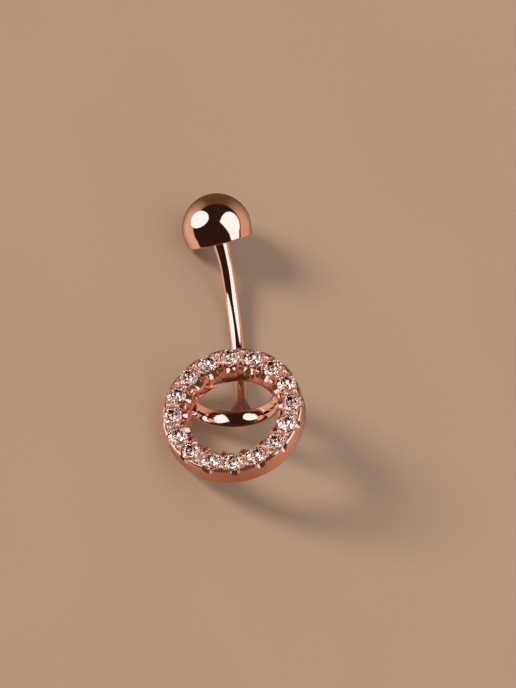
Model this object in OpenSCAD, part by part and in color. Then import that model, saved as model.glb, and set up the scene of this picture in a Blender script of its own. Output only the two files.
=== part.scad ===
// Belly button ring: a curved bar soldered to an arched bridge behind an open ring of
// round stones, with a domed end that screws on the bar. It lies on its back as it
// would by itself: the ring's back, the bar's bend and the dome's side touch the ground.
// Millimetres, +Z up, +Y from the ring towards the dome, origin under the middle.

/* [Ring] */
// Number of stones round the ring
stone_count = 16; // [14:1:16]
// Radius of the circle on which the stones' centres lie
pitch_r = 4.32; // [4.2:0.02:4.4]
// Outer radius of the ring
ring_outer_r = 5.1; // [5.05:0.01:5.2]
// Inner radius of the ring
ring_inner_r = 3.36; // [3.2:0.02:3.4]
// Depth of the ring from the front of its rim to its back
ring_depth = 1.7; // [1.5:0.05:1.9]
// Turn of the first stone from the bar's plane, clockwise seen from the front
stone_turn = 3; // [0:0.5:8]
// Radius of the rounding on the ring's back edges
back_round_r = 0.12; // [0.1:0.01:0.2]
// Narrowing of the ring's hole from its front to its back
hole_taper = 0.14; // [0.1:0.02:0.2]

/* [Setting] */
// Gap between a stone and its seat
seat_gap = 0.025; // [0.02:0.005:0.04]
// Height of the rim above the stones' girdles
rim_rise = 0.1; // [0.05:0.01:0.15]
// Radius of the light hole drilled through the ring behind each stone
light_hole_r = 0.28; // [0.2:0.02:0.34]
// Radius of one bead that holds the stones
bead_r = 0.17; // [0.14:0.01:0.18]
// Distance of a bead from the circle of the stones' centres
bead_offset = 0.38; // [0.36:0.01:0.42]
// Radius of the scallops cut in the rim's two walls beside each stone
scallop_r = 0.54; // [0.48:0.02:0.58]
// Depth of the outer scallops below the rim's front
outer_scallop_depth = 0.75; // [0.6:0.05:0.8]
// Slope of the outer scallops, down and outwards
outer_scallop_slope = 60; // [56:1:64]
// Depth of the inner scallops below the rim's front
inner_scallop_depth = 0.55; // [0.4:0.05:0.6]
// Slope of the inner scallops, down and inwards
inner_scallop_slope = 25; // [20:1:30]
// Radius of the pocket cut between two stones and the rim
pocket_r = 0.18; // [0.12:0.01:0.19]
// Width of the lip left outside that pocket
lip_w = 0.09; // [0.07:0.01:0.12]
// Depth of that pocket
pocket_depth = 0.3; // [0.2:0.05:0.4]

/* [Stones] */
// Diameter of a stone at its girdle
stone_d = 1.4; // [1.34:0.01:1.42]
// Width of the table as a part of the diameter
table_part = 0.56; // [0.5:0.01:0.62]
// Height of the crown as a part of the diameter
crown_part = 0.17; // [0.14:0.01:0.19]
// Depth of the pavilion as a part of the diameter
pavilion_part = 0.43; // [0.4:0.01:0.44]
// Thickness of the girdle
girdle_h = 0.03; // [0.02:0.01:0.05]

/* [Bridge] */
// Radius of the bridge's arch, measured to the middle of the strap
arch_r = 3.3; // [3.24:0.02:3.36]
// Depth behind the stones' girdles at which the arch has its centre
arch_centre_depth = 0.48; // [0.4:0.02:0.6]
// Depth behind the stones' girdles at which the strap's ends sit on the ring's wall
strap_seat_depth = 1; // [0.9:0.05:1.2]
// Distance from the ring's centre to the arch's plane, towards the dome
arch_offset = 1.3; // [1.15:0.05:1.4]
// Turn of the bridge from the bar's cross direction, clockwise seen from the front
bridge_turn = 4; // [0:0.5:8]
// Thickness of the strap
strap_t = 0.8; // [0.7:0.02:0.9]
// Height of the strap
strap_h = 1.2; // [1.1:0.05:1.4]

/* [Bar] */
// Diameter of the bar
bar_d = 1; // [0.9:0.05:1.1]
// Radius of the bar's bend, measured to its middle
bend_r = 10.5; // [10:0.1:11]
// Distance from the ring's centre to the bar's root in the bridge, towards the dome
root_offset = 1.3; // [1.2:0.05:1.4]
// Direction in which the bar leaves the bridge, backwards from the ring's plane
root_angle = 42; // [40:1:44]
// Direction in which the bend ends, forwards from the ring's plane
tip_angle = 36.5; // [35:0.5:38]
// Length of the straight end between the bend and the dome
end_l = 1.8; // [1.5:0.1:2]
// Lean of that end to the left, seen from the front
end_lean = 4.5; // [3:0.5:6]
// Radius of that end where it meets the dome
end_r = 0.59; // [0.58:0.01:0.64]
// Radius of the solder fillets where the bar meets the bridge
fillet_r = 0.9; // [0.6:0.1:1.1]
// Distance along the bar at which the solder starts to narrow
fillet_start = 0.4; // [0.3:0.05:0.5]
// Thickness of the solder from front to back
fillet_t = 0.8; // [0.6:0.05:0.9]
// Radius of the post hidden in the dome
post_r = 0.36; // [0.3:0.02:0.4]
// Length of that post
post_l = 1.8; // [1.5:0.1:2]

/* [Dome] */
// Radius of the dome at its widest
dome_r = 2.5; // [2.4:0.05:2.6]
// Height of the dome's widest place above its flat base
dome_waist_h = 1.07; // [1:0.01:1.15]
// Angle of the skirt's taper towards the base
skirt_taper = 10; // [8:0.5:12]
// Radius of the rounding at the base's edge
base_round_r = 0.12; // [0.08:0.01:0.15]
// Gap between the dome's base and the bar's end
dome_gap = 0.04; // [0.03:0.01:0.06]
// Clearance round the post in the dome's bore
bore_gap = 0.05; // [0.03:0.01:0.08]
// Depth of the bore past the post's end
bore_spare = 0.2; // [0.1:0.05:0.3]

/* [Hidden] */
$fn = 96;
rose_gold = [0.80, 0.48, 0.38];
clear_stone = [0.92, 0.92, 0.95];
// How far a cutter stands out of what it cuts
over = 1;
// Step left between surfaces that would otherwise only just touch
step = 0.04;

stone_r = stone_d / 2;
stone_step = 360 / stone_count;
pavilion_h = pavilion_part * stone_d;
crown_h = crown_part * stone_d;
back_z = rim_rise - ring_depth;
bar_r = bar_d / 2;

// The bar's bend is an arc in the plane x = 0, in ring coordinates: y towards the dome,
// z out of the ring's front. It starts in the middle of the bridge and ends straight.
root_y = root_offset;
root_z = -arch_centre_depth - arch_r;
bend_y = root_y + bend_r * sin(root_angle);
bend_z = root_z + bend_r * cos(root_angle);
bend_total = root_angle + tip_angle;
tip_dir = [-sin(end_lean), cos(end_lean) * cos(tip_angle), cos(end_lean) * sin(tip_angle)];
tip_point = [0, bend_y + bend_r * sin(tip_angle), bend_z - bend_r * cos(tip_angle)]
    + end_l * tip_dir;

skirt_top_h = dome_waist_h - dome_r * sin(skirt_taper);
skirt_top_r = dome_r * cos(skirt_taper);
base_r = skirt_top_r - (skirt_top_h - base_round_r) * tan(skirt_taper);

function stone_name(i) = str("stone_", i < 10 ? "0" : "", i);
function stone_angle(i) = 90 - stone_turn - (i - 1) * stone_step;
function polar(r, a, z) = [r * cos(a), r * sin(a), z];

// The brilliant cut: star points lie in the middle of its crown and keel points near the
// culet, at heights that make its four-sided facets flat.
facet_angle = 22.5;
star_part = 0.51;
keel_part = 0.24;
table_r = table_part * stone_r;
star_r = star_part * (table_r + stone_r);
star_h = girdle_h + crown_h * (stone_r - star_r * cos(facet_angle)) / (stone_r - table_r);
keel_r = keel_part * stone_r;
keel_h = -pavilion_h * (1 - keel_r * cos(facet_angle) / stone_r);

// The part rests on three places: the ring's back edge, the bar's bend and the dome's
// side. rest_angles finds the two tilts at which all three are equally low, by Newton's
// method on the differences of their depths.
cross = [1, 0, 0];
front = [0, 0, 1];
dome_centre = tip_point + (dome_gap + dome_waist_h) * tip_dir;
base_centre = tip_point + (dome_gap + base_round_r) * tip_dir;

// How far a circle with this centre, radius and axis reaches in direction n
function circle_reach(centre, r, axis, n) =
    centre * n + r * sqrt(max(0, n * n - pow(axis * n, 2)));
function ring_back_reach(n) =
    circle_reach([0, 0, back_z + back_round_r], ring_outer_r - back_round_r, front, n)
    + back_round_r;
function bend_reach(n) = circle_reach([0, bend_y, bend_z], bend_r, cross, n) + bar_r;
function dome_reach(n) = max(
    dome_centre * n + (tip_dir * n > -sin(skirt_taper) ? dome_r : 0),
    circle_reach(base_centre, base_r - base_round_r, tip_dir, n) + base_round_r
);

// The direction in ring coordinates that points up at these tilts, about X and then Y
function up(tilts) =
    [-sin(tilts[1]), cos(tilts[1]) * sin(tilts[0]), cos(tilts[1]) * cos(tilts[0])];
function unevenness(tilts) =
    let (down = -up(tilts), bend = bend_reach(down))
    [ring_back_reach(down) - bend, dome_reach(down) - bend];
function rest_angles(tilts, steps) =
    steps == 0 ? tilts :
    let (
        e = unevenness(tilts),
        e0 = (unevenness(tilts + [small_tilt, 0]) - e) / small_tilt,
        e1 = (unevenness(tilts + [0, small_tilt]) - e) / small_tilt,
        det = e0[0] * e1[1] - e1[0] * e0[1]
    )
    rest_angles(
        tilts - [e[0] * e1[1] - e[1] * e1[0], e[1] * e0[0] - e[0] * e0[1]] / det,
        steps - 1
    );
small_tilt = 0.1;
first_guess = [3, -50];
rest_tilts = rest_angles(first_guess, 8);

// Turned on the ground so that the way from the ring's centre to the dome's is along +Y
function tilted(p) =
    let (q = [p[0], p[1] * cos(rest_tilts[0]) - p[2] * sin(rest_tilts[0]),
              p[1] * sin(rest_tilts[0]) + p[2] * cos(rest_tilts[0])])
    [q[0] * cos(rest_tilts[1]) + q[2] * sin(rest_tilts[1]), q[1],
     q[2] * cos(rest_tilts[1]) - q[0] * sin(rest_tilts[1])];
rest_yaw = atan2(tilted(dome_centre)[0], tilted(dome_centre)[1]);

// How far the part reaches from the ring's centre in a direction given as it lies
function turned_back(n) =
    let (m = [n[0] * cos(rest_yaw) + n[1] * sin(rest_yaw),
              n[1] * cos(rest_yaw) - n[0] * sin(rest_yaw), n[2]])
    [m * tilted([1, 0, 0]), m * tilted([0, 1, 0]), m * tilted([0, 0, 1])];
function reach(n) =
    let (m = turned_back(n))
    max(ring_back_reach(m), dome_reach(m),
        circle_reach([0, 0, rim_rise], ring_outer_r, front, m));

rest_shift = [(reach([-1, 0, 0]) - reach([1, 0, 0])) / 2,
              (reach([0, -1, 0]) - reach([0, 1, 0])) / 2,
              reach([0, 0, -1])];

module place_at_rest() {
    translate(rest_shift)
        rotate([0, 0, rest_yaw]) rotate([0, rest_tilts[1], 0]) rotate([rest_tilts[0], 0, 0])
            children();
}

// Rim section: a band with rounded back edges, whose hole narrows towards the back
module rim_section() {
    back_inner_r = ring_inner_r - hole_taper;
    round_z = back_z + back_round_r;
    polygon([
        [ring_inner_r, rim_rise], [back_inner_r, round_z], [back_inner_r + back_round_r, back_z],
        [ring_outer_r - back_round_r, back_z], [ring_outer_r, round_z], [ring_outer_r, rim_rise]
    ]);
    for (r = [back_inner_r + back_round_r, ring_outer_r - back_round_r])
        translate([r, round_z]) circle(r = back_round_r);
}

// A seat is a bore down to the girdle, a cone under the pavilion and the light hole
module stone_seat() {
    seat_r = stone_r + seat_gap;
    rotate_extrude()
        polygon([
            [0, over], [seat_r, over], [seat_r, -seat_gap],
            [light_hole_r, -pavilion_h - seat_gap], [light_hole_r, back_z - over],
            [0, back_z - over]
        ]);
}

// A scallop is a slanting cut in a wall of the rim, which bares the stone's edge. Its
// lowest place is on the wall.
module scallop(wall_r, depth, turn) {
    translate([wall_r, 0, rim_rise - depth + scallop_r / abs(sin(turn))])
        rotate([0, turn, 0]) cylinder(r = scallop_r, h = 6 * scallop_r, center = true);
}

module scallops() {
    for (i = [1:stone_count])
        rotate([0, 0, stone_angle(i)]) {
            scallop(ring_outer_r, outer_scallop_depth, 90 + outer_scallop_slope);
            scallop(ring_inner_r, inner_scallop_depth, -90 - inner_scallop_slope);
        }
}

// Pockets are cut between the stones, inside the rim's outer and inner lips
module pockets() {
    for (i = [1:stone_count])
        rotate([0, 0, stone_angle(i) - stone_step / 2])
            for (r = [ring_outer_r - lip_w - pocket_r, ring_inner_r + lip_w + pocket_r])
                translate([r, 0, rim_rise - pocket_depth])
                    cylinder(r = pocket_r, h = pocket_depth + over);
}

module beads() {
    for (i = [1:stone_count])
        rotate([0, 0, stone_angle(i) - stone_step / 2])
            for (r = [pitch_r + bead_offset, pitch_r - bead_offset])
                translate([r, 0, rim_rise]) sphere(r = bead_r);
}

module rim() {
    union() {
        difference() {
            rotate_extrude() rim_section();
            for (i = [1:stone_count])
                translate(polar(pitch_r, stone_angle(i), 0)) stone_seat();
            scallops();
            pockets();
        }
        beads();
    }
}

module strap_section() {
    flat_h = strap_h - strap_t;
    square([strap_t, flat_h], center = true);
    for (s = [-1, 1]) translate([0, s * flat_h / 2]) circle(d = strap_t);
}

// The strap follows a half circle whose middle is at the back, short of its two ends
module bridge() {
    end_angle = asin((strap_seat_depth - arch_centre_depth) / arch_r);
    rotate([0, 0, -bridge_turn])
        translate([0, arch_offset, -arch_centre_depth])
            rotate([90, 0, 0]) rotate([0, 0, 180 + end_angle])
                rotate_extrude(angle = 180 - 2 * end_angle)
                    translate([arch_r, 0]) strap_section();
}

// Solder blends the bar into the strap: a trumpet round the bar's root, cut to a slab
module root_fillet() {
    wide_r = bar_r + fillet_r;
    translate([0, root_y, root_z]) rotate([-90 - root_angle, 0, 0])
        intersection() {
            rotate_extrude() difference() {
                translate([0, fillet_start]) square([wide_r, fillet_r - step]);
                translate([wide_r, fillet_start + fillet_r]) circle(r = fillet_r - step / 2);
            }
            translate([0, 0, fillet_r])
                cube([3 * wide_r, fillet_t, 3 * wide_r], center = true);
        }
}

module bar() {
    translate([0, bend_y, bend_z])
        rotate([0, 90, 0]) rotate([0, 0, -root_angle])
            rotate_extrude(angle = bend_total) translate([bend_r, 0]) circle(r = bar_r);
    end_h = end_l + 2 * step;
    at_tip() {
        translate([0, 0, -end_h]) cylinder(r1 = bar_r + step / 2, r2 = end_r, h = end_h);
        translate([0, 0, -bar_r]) cylinder(r = post_r, h = bar_r + post_l);
    }
}

module at_tip() {
    translate(tip_point) rotate([tip_angle - 90, 0, 0]) rotate([0, -end_lean, 0]) children();
}

module bar_with_ring() {
    color(rose_gold)
        place_at_rest()
            union() {
                rim();
                bridge();
                root_fillet();
                bar();
            }
}

// Half of the dome's outline: a ball above, a tapered skirt with a rounded edge below
module dome_section() {
    intersection() {
        translate([0, dome_waist_h]) circle(r = dome_r);
        translate([0, skirt_top_h]) square([2 * dome_r, 2 * dome_r]);
    }
    polygon([
        [0, 0], [base_r - base_round_r, 0], [base_r, base_round_r],
        [skirt_top_r, skirt_top_h], [0, skirt_top_h]
    ]);
    translate([base_r - base_round_r, base_round_r]) circle(r = base_round_r);
}

module dome_end() {
    bore_depth = post_l + bore_spare;
    color(rose_gold)
        place_at_rest() at_tip() translate([0, 0, dome_gap])
            difference() {
                rotate_extrude() dome_section();
                translate([0, 0, -over])
                    cylinder(r = post_r + bore_gap, h = over + bore_depth);
            }
}

// Points of a brilliant, from the table down to the culet
function brilliant_points() = concat(
    [for (k = [0:7]) polar(table_r, 45 * k, girdle_h + crown_h)],
    [for (k = [0:7]) polar(star_r, 45 * k + facet_angle, star_h)],
    [for (j = [0:15]) polar(stone_r, facet_angle * j, girdle_h)],
    [for (j = [0:15]) polar(stone_r, facet_angle * j, 0)],
    [for (k = [0:7]) polar(keel_r, 45 * k + facet_angle, keel_h)],
    [[0, 0, -pavilion_h]]
);

// Facets of a brilliant. The first point of each ring of points is named here.
TABLE = 0;
STAR = 8;
UPPER = 16;
LOWER = 32;
KEEL = 48;
CULET = 56;
function brilliant_facets() = concat(
    [[for (k = [7:-1:0]) TABLE + k]],
    [for (k = [0:7]) [TABLE + k, TABLE + (k + 1) % 8, STAR + k]],
    [for (k = [0:7]) [TABLE + k, STAR + k, UPPER + 2 * k, STAR + (k + 7) % 8]],
    [for (k = [0:7]) [STAR + k, UPPER + 2 * k + 1, UPPER + 2 * k]],
    [for (k = [0:7]) [STAR + k, UPPER + (2 * k + 2) % 16, UPPER + 2 * k + 1]],
    [for (j = [0:15]) [UPPER + j, UPPER + (j + 1) % 16, LOWER + (j + 1) % 16, LOWER + j]],
    [for (k = [0:7]) [KEEL + k, LOWER + 2 * k, LOWER + 2 * k + 1]],
    [for (k = [0:7]) [KEEL + k, LOWER + 2 * k + 1, LOWER + (2 * k + 2) % 16]],
    [for (k = [0:7]) [CULET, KEEL + (k + 7) % 8, LOWER + 2 * k, KEEL + k]]
);

module stone(i) {
    color(clear_stone)
        place_at_rest()
            translate(polar(pitch_r, stone_angle(i), 0)) rotate([0, 0, stone_angle(i)])
                polyhedron(brilliant_points(), brilliant_facets());
}

bar_with_ring();
dome_end();
for (i = [1:stone_count])
    stone(i);
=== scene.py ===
import math

import bmesh
import bpy
from mathutils import Matrix, Vector


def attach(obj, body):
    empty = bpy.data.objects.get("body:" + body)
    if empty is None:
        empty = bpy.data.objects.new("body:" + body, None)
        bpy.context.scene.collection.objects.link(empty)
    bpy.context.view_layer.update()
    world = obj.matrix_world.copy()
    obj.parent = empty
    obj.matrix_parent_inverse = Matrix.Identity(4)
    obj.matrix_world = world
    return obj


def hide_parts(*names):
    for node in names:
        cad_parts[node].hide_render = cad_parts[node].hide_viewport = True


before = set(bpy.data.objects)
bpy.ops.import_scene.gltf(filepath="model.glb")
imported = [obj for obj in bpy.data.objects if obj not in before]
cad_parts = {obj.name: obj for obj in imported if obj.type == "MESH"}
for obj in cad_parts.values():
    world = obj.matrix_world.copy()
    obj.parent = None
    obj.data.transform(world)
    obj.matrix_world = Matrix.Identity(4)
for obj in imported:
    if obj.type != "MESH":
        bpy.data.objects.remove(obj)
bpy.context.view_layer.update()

# Lengths are millimetres in the ring's own axes: x across, y towards the dome, z out of
# the ring's front, with the centre of the ring at the stones' girdles. Each piece is
# modelled there and then laid at rest on the floor, in metres.
MM = 0.001
REST = Matrix((
    (0.6377548, -0.1127255, -0.7619460, -0.546884),
    (0.0916403, 0.9933111, -0.0702509, -7.182110),
    (0.7647685, -0.0250221, 0.6438191, 4.883440),
    (0, 0, 0, 1),
))
# How far off a place a point may be and still count as there, when points are picked
EXACT, NEAR = 1e-4, 0.01

# Ring and setting
STONES = 16
FIRST_STONE = math.radians(87)
STONE_STEP = math.tau / STONES
FIRST_GAP = FIRST_STONE - STONE_STEP / 2
PITCH_R = 4.32
OUTER_R, INNER_R = 5.1, 3.36
RIM_RISE, RING_DEPTH = 0.1, 1.7
HOLE_TAPER = 0.14
BACK_ROUND, FRONT_ROUND = 0.12, 0.2
SEAT_R, SEAT_DEPTH = 0.725, 0.025
LIGHT_HOLE_R, LIGHT_HOLE_TOP = 0.28, -0.627
CUT_ROUND = 0.018

# Scallops in the band's two walls: the wall's radius, the cut's depth below the front, its
# slope in degrees, 1 outwards or -1 inwards, and how far the file goes past the wall. It
# starts SCALLOP_START before the wall.
SCALLOP_R, SCALLOP_START = 0.54, 1.6
SCALLOPS = ((OUTER_R, 0.6, 60, 1, 1.4), (INNER_R, 0.55, 25, -1, 0.4))

# Pockets between the stones: the distance from the ring's axis, the length away from it,
# the width, and the turn that points the two at each other
POCKETS = ((4.86, 0.22, 0.5, 0), (3.7, 0.42, 0.52, math.pi))
POCKET_DEPTH, POCKET_ROUND = 0.3, 0.04

# Beads between the stones: the distance from the ring's axis, and the bead's radius
BEADS = ((4.7, 0.17), (4.04, 0.155))

# Bridge
ARCH_R, ARCH_Y, ARCH_Z = 3.3, 1.3, -0.48
STRAP_T, STRAP_H, CROWN_L = 0.8, 1.2, 0.22
FRONT_TILT = math.radians(12)
RUN_OUT_STEPS, RUN_OUT_L = 13, 0.56
END_SINK = 0.1
BRIDGE_TURN = math.radians(-4)

# Bar
BAR_R = 0.5
BEND_R = 10.5
ROOT_Y, ROOT_Z = 1.3, -3.78
ROOT_ANGLE, TIP_ANGLE = math.radians(42), math.radians(36.5)
END_L, END_R = 1.8, 0.59
END_LEAN, HALF_LEAN_L = math.radians(4.5), 0.5
POST_R, POST_L = 0.36, 1.8
SOLDER_WIDE, SOLDER_START, SOLDER_L = 0.9, 0.3, 2.6
BEND_Y = ROOT_Y + BEND_R * math.sin(ROOT_ANGLE)
BEND_Z = ROOT_Z + BEND_R * math.cos(ROOT_ANGLE)

# Dome
DOME_R, WAIST_H = 2.5, 1.07
SKIRT_TAPER = math.radians(10)
BASE_ROUND = 0.12
DOME_GAP = 0.04
BORE_R, BORE_DEPTH = 0.41, 2.0


def bend_point(angle):
    """A place on the middle line of the bar's bend, and the bar's direction there."""
    y, z = math.cos(angle), math.sin(angle)
    return Vector((0, BEND_Y + BEND_R * z, BEND_Z - BEND_R * y)), Vector((0, y, z))


TIP_TURN = Matrix.Rotation(TIP_ANGLE - math.pi / 2, 4, "X") @ Matrix.Rotation(-END_LEAN, 4, "Y")
TO_TIP = (TIP_TURN @ Vector((0, 0, 1))).normalized()
TIP = bend_point(TIP_ANGLE)[0] + END_L * TO_TIP
AT_TIP = REST @ Matrix.Translation(TIP) @ TIP_TURN


# ---------------------------------------------------------------- modelling by hand

def named(name):
    """The primitive that was just added, under its name, with its place in its mesh."""
    obj = bpy.context.object
    obj.name = obj.data.name = name
    bpy.ops.object.transform_apply(location=True, rotation=True, scale=True)
    return obj


def hold(obj):
    """Selects this object alone."""
    bpy.ops.object.select_all(action="DESELECT")
    obj.select_set(True)
    bpy.context.view_layer.objects.active = obj


def edit(obj):
    hold(obj)
    bpy.ops.object.mode_set(mode="EDIT")
    bpy.ops.mesh.select_all(action="DESELECT")


def done():
    bpy.ops.object.mode_set(mode="OBJECT")


def pick(kind, test):
    """Selects the vertices, edges or faces whose middle passes the test."""
    bpy.ops.mesh.select_mode(type=kind)
    bpy.ops.mesh.select_all(action="DESELECT")
    data = bpy.context.edit_object.data
    mesh = bmesh.from_edit_mesh(data)
    for part in {"VERT": mesh.verts, "EDGE": mesh.edges, "FACE": mesh.faces}[kind]:
        points = [part.co] if kind == "VERT" else [v.co for v in part.verts]
        if test(sum(points, Vector()) / len(points)):
            part.select_set(True)
    mesh.select_flush_mode()
    bmesh.update_edit_mesh(data)


def resize(x, y, z, centre):
    bpy.ops.transform.resize(value=(x, y, z), center_override=centre)


def pull(x=0, y=0, z=0):
    """Extrudes the selected open edges."""
    bpy.ops.mesh.extrude_edges_move(TRANSFORM_OT_translate={"value": (x, y, z)})


def tidy_mesh(obj):
    """Merges doubles and turns the faces outwards."""
    edit(obj)
    bpy.ops.mesh.select_all(action="SELECT")
    bpy.ops.mesh.remove_doubles(threshold=EXACT)
    bpy.ops.mesh.normals_make_consistent(inside=False)
    done()


def modify(obj, kind, **settings):
    """Adds a modifier and applies it."""
    hold(obj)
    modifier = obj.modifiers.new(kind.lower(), kind)
    for key, value in settings.items():
        setattr(modifier, key, value)
    bpy.ops.object.modifier_apply(modifier=modifier.name)


def cut_away(obj, cutter):
    modify(obj, "BOOLEAN", operation="DIFFERENCE", solver="MANIFOLD", object=cutter)
    bpy.data.objects.remove(cutter)


def join(pieces):
    hold(pieces[0])
    for piece in pieces[1:]:
        piece.select_set(True)
    bpy.ops.object.join()
    return pieces[0]


def round_the_ring(obj, first):
    """Copies a piece modelled on the x axis to all places round the ring."""
    name, copies = obj.name, []
    for i in range(STONES):
        copy = obj.copy()
        copy.data = obj.data.copy()
        bpy.context.collection.objects.link(copy)
        copy.matrix_world = Matrix.Rotation(first - i * STONE_STEP, 4, "Z")
        copies.append(copy)
    bpy.data.objects.remove(obj)
    whole = join(copies)
    whole.name = whole.data.name = name
    bpy.ops.object.transform_apply(location=True, rotation=True, scale=True)
    return whole


def lay(obj, place, smooth=40):
    """Lays a finished piece at its place on the floor, in metres."""
    hold(obj)
    obj.matrix_world = Matrix.Scale(MM, 4) @ place
    bpy.ops.object.transform_apply(location=True, rotation=True, scale=True)
    bpy.ops.object.shade_smooth_by_angle(angle=math.radians(smooth))
    return obj


# ---------------------------------------------------------------- the metal pieces

def rim_band():
    """The ring's band: its section, with round edges, spun about the ring's axis."""
    middle_r, width = (OUTER_R + INNER_R) / 2, OUTER_R - INNER_R
    middle_z = RIM_RISE - RING_DEPTH / 2
    bpy.ops.mesh.primitive_plane_add(
        size=1, location=(middle_r, 0, middle_z), rotation=(math.pi / 2, 0, 0),
    )
    bpy.context.object.scale = (width, RING_DEPTH, 1)
    band = named("setting_band")
    edit(band)
    pick("VERT", lambda p: p.z < middle_z and p.x < middle_r)
    bpy.ops.transform.translate(value=(-HOLE_TAPER, 0, 0))
    pick("VERT", lambda p: p.z < middle_z)
    bpy.ops.mesh.bevel(offset=BACK_ROUND, segments=10, affect="VERTICES")
    pick("VERT", lambda p: p.z > middle_z)
    bpy.ops.mesh.bevel(offset=FRONT_ROUND, segments=5, affect="VERTICES")
    bpy.ops.mesh.select_all(action="SELECT")
    bpy.ops.mesh.delete(type="ONLY_FACE")
    bpy.ops.mesh.select_all(action="SELECT")
    bpy.ops.mesh.spin(steps=320, angle=math.tau, center=(0, 0, 0), axis=(0, 0, 1))
    done()
    tidy_mesh(band)
    return band


def seat_cutter():
    """A bore down to the girdle, a cone under the pavilion and the light hole."""
    above, below = 1, 2
    bpy.ops.mesh.primitive_circle_add(
        vertices=64, radius=SEAT_R, location=(PITCH_R, 0, above), fill_type="NGON",
    )
    cutter = named("seat_cutter")
    edit(cutter)
    pick("EDGE", lambda p: True)
    for z, ratio in (
        (-above - SEAT_DEPTH, 1),
        (SEAT_DEPTH + LIGHT_HOLE_TOP, LIGHT_HOLE_R / SEAT_R),
        (-below, 1),
    ):
        pull(z=z)
        resize(ratio, ratio, 1, (PITCH_R, 0, 0))
    bpy.ops.mesh.edge_face_add()
    done()
    tidy_mesh(cutter)
    return cutter


def scallop_cutter():
    """A round file's two slanting cuts in the band's walls beside each stone."""
    pair = []
    for wall_r, depth, degrees, way, past in SCALLOPS:
        slope = math.radians(degrees)
        along = Vector((way * math.cos(slope), 0, -math.sin(slope)))
        low = Vector((wall_r, 0, RIM_RISE - depth + SCALLOP_R / math.cos(slope)))
        bpy.ops.mesh.primitive_cylinder_add(
            vertices=96, radius=SCALLOP_R, depth=SCALLOP_START + past,
            location=low + along * (past - SCALLOP_START) / 2,
            rotation=(0, way * (math.pi / 2 + slope), 0),
        )
        pair.append(named("scallop_cutter"))
    return join(pair)


def pocket_cutter():
    """Two three-sided pockets between neighbouring stones, inside the band's lips."""
    height, floor_z = 2, RIM_RISE - POCKET_DEPTH
    pair = []
    for r, length, width, turn in POCKETS:
        bpy.ops.mesh.primitive_cylinder_add(
            vertices=3, radius=1, depth=height, location=(r, 0, floor_z + height / 2),
            rotation=(0, 0, turn + math.pi / 2),
        )
        bpy.context.object.scale = (width / math.sqrt(3), length / 1.5, 1)
        cutter = named("pocket_cutter")
        edit(cutter)
        pick("EDGE", lambda p: abs(p.z - floor_z - height / 2) < height / 4)
        bpy.ops.mesh.bevel(offset=POCKET_ROUND, segments=3, affect="EDGES")
        done()
        pair.append(cutter)
    return join(pair)


def setting():
    """The band with its seats, scallops and pockets, and a soft edge along every cut."""
    band = rim_band()
    cut_away(band, round_the_ring(seat_cutter(), FIRST_STONE))
    cut_away(band, round_the_ring(scallop_cutter(), FIRST_STONE))
    cut_away(band, round_the_ring(pocket_cutter(), FIRST_GAP))
    modify(
        band, "BEVEL", width=CUT_ROUND, segments=2,
        limit_method="ANGLE", angle_limit=math.radians(38),
    )
    return lay(band, REST, smooth=30)


def beads():
    """Two beads between each pair of stones, raised from the metal to hold them."""
    pair = []
    for r, bead_r in BEADS:
        bpy.ops.mesh.primitive_uv_sphere_add(
            segments=24, ring_count=16, radius=bead_r, location=(r, 0, RIM_RISE),
        )
        pair.append(named("setting_beads"))
    return lay(round_the_ring(join(pair), FIRST_GAP), REST)


def bridge():
    """The arched strap: a section with a broad, gently crowned front, spun through the
    arch. The front faces a little away from the dome. The ends run out in the ring's wall."""
    steps = 96
    step = math.pi / steps
    middle_r = ARCH_R - STRAP_T / 2 + CROWN_L
    start = (middle_r, ARCH_Y, ARCH_Z)
    bpy.ops.mesh.primitive_circle_add(vertices=96, radius=1, location=start)
    bpy.context.object.scale = (CROWN_L, STRAP_H / 2, 1)
    strap = named("bridge")
    edit(strap)
    pick("VERT", lambda p: p.x > middle_r + EXACT)
    resize(STRAP_T / CROWN_L - 1, 1, 1, start)
    done()
    middle = Matrix.Translation(start)
    strap.matrix_world = middle @ Matrix.Rotation(FRONT_TILT, 4, "Z") @ middle.inverted()
    bpy.ops.object.transform_apply(location=True, rotation=True, scale=True)
    edit(strap)
    bpy.ops.mesh.select_all(action="SELECT")
    bpy.ops.mesh.spin(steps=steps, angle=-math.pi, center=(0, ARCH_Y, ARCH_Z), axis=(0, 1, 0))
    for k in range(RUN_OUT_STEPS):
        angle, share = k * step, 1 - k / RUN_OUT_STEPS
        pick("VERT", lambda p: abs(math.atan2(ARCH_Z - p.z, abs(p.x)) - angle) < step / 2)
        wider = 1 + RUN_OUT_L * share * share * (3 - 2 * share) / ARCH_R
        resize(wider, 1, 1, (0, ARCH_Y, ARCH_Z))
    bpy.ops.mesh.select_all(action="SELECT")
    bpy.ops.mesh.bisect(
        plane_co=(0, 0, ARCH_Z - END_SINK), plane_no=(0, 0, 1), clear_outer=True, use_fill=True,
    )
    done()
    tidy_mesh(strap)
    return lay(strap, REST @ Matrix.Rotation(BRIDGE_TURN, 4, "Z"))


def pick_section(centre, along):
    """Selects the bar's round section at a place."""
    pick("VERT", lambda p: abs((p - centre).dot(along)) < NEAR and (p - centre).length < 4 * BAR_R)


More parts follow.
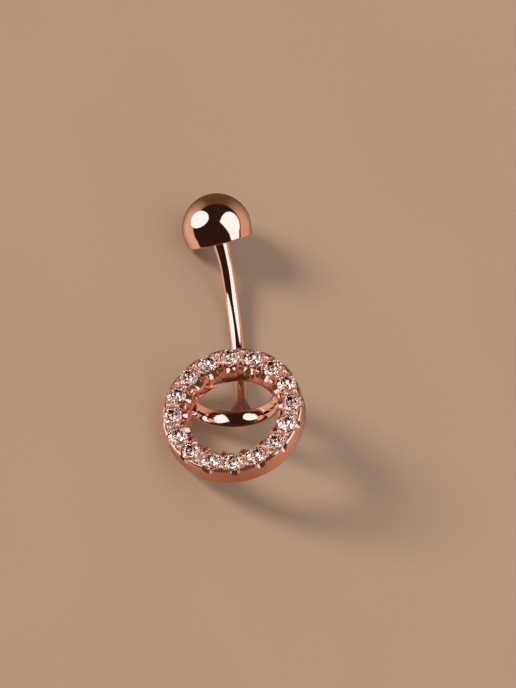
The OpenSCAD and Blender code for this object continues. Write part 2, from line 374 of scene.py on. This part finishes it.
def bar():
    """The bar: a circle spun through the bend and then through a small lean, drawn out to
    a wider straight end and the post. It flares where it is soldered to the bridge."""
    steps, lean_steps, end_steps = 150, 14, 12
    lean_start = TIP_ANGLE - HALF_LEAN_L / BEND_R
    sweep = ROOT_ANGLE + lean_start
    root, root_way = bend_point(-ROOT_ANGLE)
    bpy.ops.mesh.primitive_circle_add(
        vertices=64, radius=BAR_R, location=root, rotation=(-math.pi / 2 - ROOT_ANGLE, 0, 0),
    )
    rod = named("bar")
    edit(rod)
    bpy.ops.mesh.select_all(action="SELECT")
    bpy.ops.mesh.spin(steps=steps, angle=-sweep, center=(0, BEND_Y, BEND_Z), axis=(1, 0, 0))
    start, along = bend_point(lean_start)
    pick_section(start, along)
    bpy.ops.mesh.select_mode(type="EDGE")
    lean = along.angle(TO_TIP)
    lean_r = HALF_LEAN_L / math.tan(lean / 2)
    axis = along.cross(TO_TIP).normalized()
    lean_centre = start + lean_r * axis.cross(along)
    bpy.ops.mesh.spin(steps=lean_steps, angle=-lean, center=lean_centre, axis=axis)

    end_l = END_L - HALF_LEAN_L
    end_start = TIP - end_l * TO_TIP
    pick_section(end_start, TO_TIP)
    bpy.ops.mesh.select_mode(type="EDGE")
    radius = BAR_R
    for k in range(1, end_steps + 1):
        share = k / end_steps
        wider = BAR_R + (END_R - BAR_R) * share * share * (3 - 2 * share)
        pull(*(TO_TIP * end_l / end_steps))
        resize(*[wider / radius] * 3, end_start + TO_TIP * end_l * share)
        radius = wider
    pull()
    resize(*[POST_R / END_R] * 3, TIP)
    pull(*(TO_TIP * POST_L))
    bpy.ops.mesh.edge_face_add()

    for k in range(steps):
        length = BEND_R * sweep * k / steps
        left = 1 - max(length - SOLDER_START, 0) / SOLDER_L
        if left > 0:
            centre, along = bend_point(sweep * k / steps - ROOT_ANGLE)
            pick_section(centre, along)
            resize(1 + SOLDER_WIDE * left ** 1.5 / BAR_R, 1, 1, centre)
    pick_section(root, root_way)
    bpy.ops.mesh.select_mode(type="EDGE")
    bpy.ops.mesh.edge_face_add()
    done()
    tidy_mesh(rod)
    return lay(rod, REST)


def dome():
    """The dome: a ball cut off below its waist, with a tapered skirt, a flat base with a
    soft edge and the bore for the post."""
    skirt_top = WAIST_H - DOME_R * math.sin(SKIRT_TAPER)
    bpy.ops.mesh.primitive_uv_sphere_add(
        segments=144, ring_count=96, radius=DOME_R, location=(0, 0, WAIST_H),
    )
    cap = named("dome_shell")
    edit(cap)
    bpy.ops.mesh.select_all(action="SELECT")
    bpy.ops.mesh.bisect(plane_co=(0, 0, skirt_top), plane_no=(0, 0, 1), clear_inner=True)
    top_r = DOME_R * math.cos(SKIRT_TAPER)
    base_r = top_r - skirt_top * math.tan(SKIRT_TAPER)
    pick("EDGE", lambda p: abs(p.z - skirt_top) < EXACT)
    pull(z=-skirt_top)
    resize(base_r / top_r, base_r / top_r, 1, (0, 0, 0))
    pull()
    resize(BORE_R / base_r, BORE_R / base_r, 1, (0, 0, 0))
    pull(z=BORE_DEPTH)
    bpy.ops.mesh.edge_face_add()
    pick("EDGE", lambda p: abs(p.z) < EXACT and abs(p.length - base_r) < NEAR)
    bpy.ops.mesh.bevel(offset=BASE_ROUND, segments=6, affect="EDGES")
    done()
    tidy_mesh(cap)
    return lay(cap, AT_TIP @ Matrix.Translation((0, 0, DOME_GAP)))


# ---------------------------------------------------------------- materials

class Value:
    """A socket on a graph. Arithmetic on it adds Math nodes."""

    def __init__(self, graph, socket):
        self.graph, self.socket = graph, socket

    def maths(self, operation, first, second):
        return self.graph.node("Math", {"operation": operation}, in0=first, in1=second)

    def __add__(self, other):
        return self.maths("ADD", self, other)

    def __sub__(self, other):
        return self.maths("SUBTRACT", self, other)

    def __rsub__(self, other):
        return self.maths("SUBTRACT", other, self)

    def __mul__(self, other):
        return self.maths("MULTIPLY", self, other)

    __radd__ = __add__
    __rmul__ = __mul__

    def edge(self, sharpness):
        """0 below zero and 1 above it, over a step that is narrower when sharper."""
        settings = {"operation": "MULTIPLY_ADD", "use_clamp": True}
        return self.graph.node("Math", settings, in0=self, in1=sharpness, in2=0.5)


class Graph:
    """A node tree that is built through one node-making method."""

    def __init__(self, tree):
        self.tree = tree
        tree.nodes.clear()

    def node(self, kind, settings=None, output=0, **sockets):
        """Adds a node with its settings and sockets. A socket is given by its name or, as
        in0, in1 and so on, by its number."""
        made = self.tree.nodes.new("ShaderNode" + kind)
        for key, value in (settings or {}).items():
            if key == "stops":
                ramp = made.color_ramp
                while len(ramp.elements) < len(value):
                    ramp.elements.new(0.5)
                for stop, (place, colour) in zip(ramp.elements, value):
                    stop.position, stop.color = place, (*colour, 1)
            else:
                setattr(made, key, value)
        for key, value in sockets.items():
            numbered = key[:2] == "in" and key[2:].isdigit()
            place = int(key[2:]) if numbered else key.replace("_", " ")
            if isinstance(value, Value):
                self.tree.links.new(value.socket, made.inputs[place])
            else:
                made.inputs[place].default_value = value
        return Value(self, made.outputs[output]) if len(made.outputs) else None

    def object_mm(self, scale=(1, 1, 1)):
        """Object coordinates in millimetres, stretched by scale."""
        place = self.node("TexCoord", output="Object")
        return self.node("Mapping", in0=place, in3=[s / MM for s in scale])

    def dot(self, first, second):
        settings = {"operation": "DOT_PRODUCT"}
        return self.node("VectorMath", settings, output=1, in0=first, in1=second)

    def mix(self, share, first, second, blend="MIX"):
        first, second = ((*c, 1) if isinstance(c, tuple) else c for c in (first, second))
        settings = {"data_type": "RGBA", "blend_type": blend}
        return self.node("Mix", settings, output=2, in0=share, in6=first, in7=second)


def material(name):
    made = bpy.data.materials.new(name)
    made.use_nodes = True
    return made, Graph(made.node_tree)


# The setting's front: a lighter orange painted where the light falls on it, as painted light
FRONT_PAINTED_LIGHT = (0.97, 0.44, 0.29)
# Painted highlight and shade on the stones: dark, grey and white, by the number of their cell
PAINTED_GLINTS = ((0.38, (0.19, 0.13, 0.12)), (0.46, (0.64, 0.55, 0.52)), (0.55, (1.0, 1.0, 1.0)))


def rose_gold(name, metal, polish, haze, deep, light, front=None):
    """Plated rose gold: a polished surface with faint buffing lines and clouds of haze.
    The front is the share of metal on the setting's front, where the colour is painted lighter as
    painted light."""
    made, graph = material(name)
    place = graph.object_mm()
    clouds = graph.node("TexNoise", in0=place, Scale=0.9, Detail=3.0)
    lines = graph.node("TexNoise", in0=graph.object_mm((3, 22, 3)), Scale=2.0, Detail=4.0)
    grain = graph.node("TexNoise", in0=place, Scale=24.0, Detail=2.0)
    colour = graph.mix(clouds, deep, light)
    if front is not None:
        out, middle = REST.to_3x3() @ Vector((0, 0, 1)), REST.to_translation()
        front_height = out.dot(middle) + RIM_RISE - 0.004
        on_front = (graph.dot(place, out) - front_height).edge(150)
        # Painted light: a lighter orange painted on the front, where the light falls; its smaller
        # metal share is its finish
        colour = graph.mix(on_front, colour, FRONT_PAINTED_LIGHT)
        metal = metal - on_front * (metal - front)
    bump = graph.node("Bump", Strength=0.03, Distance=0.00001, Height=lines * 0.6 + grain * 0.4)
    shader = graph.node(
        "BsdfPrincipled", Base_Color=colour, Metallic=metal,
        Roughness=polish + haze * clouds * (0.5 + lines * 0.5), Normal=bump,
    )
    graph.node("OutputMaterial", Surface=shader)
    return made


def clear_stone(name):
    """Cut zirconia: clear, with small light and dark facet sparkle painted into its colour as
    painted highlights and painted shade.
    """
    made, graph = material(name)
    place = graph.object_mm()
    fire = graph.node("TexNoise", in0=place, Scale=2.6, Detail=2.0)
    tint = graph.mix(fire, (1.0, 0.87, 0.81), (0.97, 0.92, 0.93))
    cells = graph.node("TexVoronoi", in0=place, Scale=7.5, Randomness=0.9, output="Color")
    # Painted light: white highlights and dark shade painted into the stone's colour, by cell
    painted_glints = graph.node("ValToRGB", {"stops": PAINTED_GLINTS}, in0=cells)
    marks = graph.node("TexNoise", in0=place, Scale=14.0, Detail=3.0)
    shader = graph.node(
        "BsdfPrincipled", Base_Color=graph.mix(1.0, tint, painted_glints, blend="MULTIPLY"),
        Roughness=0.012 * marks, IOR=2.16, Transmission_Weight=1.0,
        Specular_Tint=(1.0, 0.74, 0.62, 1.0),
    )
    graph.node("OutputMaterial", Surface=shader)
    return made


def pale_paper(name):
    """The floor: pale matt paper with a fine grain and broad faint clouds."""
    made, graph = material(name)
    clouds = graph.node("TexNoise", in0=graph.object_mm(), Scale=0.05, Detail=2.0)
    grain = graph.node("TexNoise", in0=graph.object_mm(), Scale=5.0, Detail=4.0)
    colour = graph.mix(clouds * 0.4 + grain * 0.6, (0.45, 0.32, 0.235), (0.55, 0.40, 0.30))
    bump = graph.node("Bump", Strength=0.25, Distance=0.00004, Height=grain)
    shader = graph.node("BsdfPrincipled", Base_Color=colour, Roughness=0.75, Normal=bump)
    graph.node("OutputMaterial", Surface=shader)
    return made


def dress(obj, finish):
    obj.data.materials.clear()
    obj.data.materials.append(finish)


# ---------------------------------------------------------------- the pieces together

mirror = rose_gold("rose_gold_mirror", 1.0, 0.045, 0.05, (0.80, 0.43, 0.31), (0.93, 0.56, 0.43))
satin = rose_gold(
    "rose_gold_satin", 0.92, 0.06, 0.06, (0.70, 0.29, 0.17), (0.94, 0.49, 0.34), front=0.66,
)
# Painted light: the beads get a lighter copy of the rose gold, standing in for the highlights they
# catch
beads_painted_light = rose_gold("rose_gold_beads", 0.70, 0.10, 0.06, (0.94, 0.55, 0.44), (1.0, 0.70, 0.60))

for piece, finish in (
    (setting(), satin), (beads(), beads_painted_light), (bridge(), mirror), (bar(), mirror),
):
    dress(piece, finish)
    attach(piece, "jewel")
    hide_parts("bar_with_ring")

dome_piece = dome()
dress(dome_piece, mirror)
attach(dome_piece, "dome")
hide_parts("dome_end")

zirconia = clear_stone("clear_cut_stone")
for name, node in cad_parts.items():
    if name.startswith("stone_"):
        for place in node.material_slots:
            place.material = zirconia


# ---------------------------------------------------------------- camera, floor and light

# The camera's axes, and where the middle of its picture lies from the ring's centre
RIGHT = Vector((0.76554, 0.02195, 0.64302))
UP = Vector((-0.37182, 0.83072, 0.41431))
TOWARD = Vector((-0.52508, -0.55626, 0.64411))
AIM_RIGHT, AIM_UP = 1.8486, 4.7203
CAMERA_FAR = 1000
PIXELS_PER_MM = 13.9898
SENSOR, LONG_SIDE = 36, 688

# Ways into the studio are given across, up and towards the camera. A softbox is an oval
# cone: its middle, and the two ways that it spreads in. The right one is cut off along
# one side.
LEFT_BOX = ((-0.8522, 0.4238, 0.3069), (-0.7355, -0.3413, -1.2991), (0.5666, 1.9258, -0.8317))
RIGHT_BOX = ((0.827, 0.3506, 0.4394), (-0.596, -0.69, -0.0742), (-0.7285, 0.3147, 0.611))
RIGHT_CUT = (0.6681, 0.6547, -0.3536)
BOX_WHITE = (1.30, 1.85, 2.30)

DARK_ROOM = (0.030, 0.018, 0.014)
BROWN_WALL, BROWN_TOP = (0.30, 0.135, 0.07), (0.13, 0.08, 0.052)
PALE_LEFT, PALE_RIGHT = (0.80, 0.66, 0.54), (0.70, 0.52, 0.41)
SOFT_ALL_ROUND = (0.50, 0.42, 0.36)
BEHIND_FLOOR = (0.52, 0.39, 0.305)
SPARKS = (
    (0.38, (0.09, 0.052, 0.044)), (0.48, (0.62, 0.38, 0.30)),
    (0.60, (1.5, 1.0, 0.84)), (0.72, (2.7, 2.15, 2.0)),
)


def from_camera(x, y, z):
    """A vector given across, up and towards the camera."""
    return RIGHT * x + UP * y + TOWARD * z


def facing(toward, up):
    """The turn of a thing that looks along -toward."""
    across = up.cross(toward).normalized()
    return Matrix((across, toward.cross(across), toward)).transposed()


def camera():
    """A long lens at the photograph's viewing angle."""
    data = bpy.data.cameras.new("camera")
    data.sensor_width = SENSOR
    data.lens = PIXELS_PER_MM * CAMERA_FAR * SENSOR / LONG_SIDE
    data.clip_start, data.clip_end = 0.01, 20
    obj = bpy.data.objects.new("camera", data)
    bpy.context.collection.objects.link(obj)
    place = REST.to_translation() + from_camera(AIM_RIGHT, AIM_UP, CAMERA_FAR)
    obj.matrix_world = Matrix.Translation(place * MM) @ facing(TOWARD, UP).to_4x4()
    bpy.context.scene.camera = obj


def oval_light(graph, way, *cone):
    """1 for the ways that look into an oval softbox."""
    reach, x, y = (graph.dot(way, from_camera(*v)) for v in cone)
    return (reach * reach - x * x - y * y).edge(40) * reach.edge(40)


def studio():
    """A dark studio before a warm backdrop, with two white softboxes beside the camera,
    so that the mirror metal has all of them. Matt surfaces get even light, and the
    stones get many small sparks."""
    world = bpy.data.worlds.new("studio")
    bpy.context.scene.world = world
    world.use_nodes = True
    graph = Graph(world.node_tree)
    way = graph.node("TexCoord", output="Generated")
    across, above, toward = (graph.dot(way, axis) for axis in (RIGHT, UP, TOWARD))

    wall = across * across * 1.45 - above * 0.15 - 0.52
    brown = graph.mix((above + 0.1).edge(0.8), BROWN_WALL, BROWN_TOP)
    pale = graph.mix(across.edge(1.0), PALE_LEFT, PALE_RIGHT)
    backdrop = graph.mix(wall.edge(1.0), brown, pale)
    room = graph.mix((toward - 0.05).edge(14), backdrop, DARK_ROOM)

    left, right = oval_light(graph, way, *LEFT_BOX), oval_light(graph, way, *RIGHT_BOX)
    right = right * graph.dot(way, from_camera(*RIGHT_CUT)).edge(40)
    room = graph.mix(right, room, BOX_WHITE)
    room = graph.mix(left, room, BOX_WHITE)

    cells = graph.node("TexVoronoi", in0=way, Scale=5.0, output="Color")
    sparks = graph.node("ValToRGB", {"stops": SPARKS}, in0=cells)
    for ray, seen in (
        ("Is Diffuse Ray", SOFT_ALL_ROUND),
        ("Is Transmission Ray", sparks),
        ("Is Camera Ray", BEHIND_FLOOR),
    ):
        room = graph.mix(graph.node("LightPath", output=ray), room, seen)
    graph.node("OutputWorld", in0=graph.node("Background", in0=room, in1=1.0))


def window_light():
    """Soft light from the upper left for the floor's shadows; the metal doesn't mirror it."""
    data = bpy.data.lights.new("window_light", "SUN")
    data.energy, data.angle = 3.0, math.radians(14)
    data.color = (1, 0.90, 0.80)
    obj = bpy.data.objects.new("window_light", data)
    bpy.context.collection.objects.link(obj)
    direction = from_camera(-0.42, 0.36, 0.83).normalized()
    obj.matrix_world = facing(direction, UP).to_4x4()
    obj.visible_glossy = False


camera()
studio()
window_light()

bpy.ops.mesh.primitive_plane_add(size=6)
floor = named("floor")
floor.visible_glossy = False
dress(floor, pale_paper("pale_paper"))

bpy.context.scene.view_settings.view_transform = "Standard"
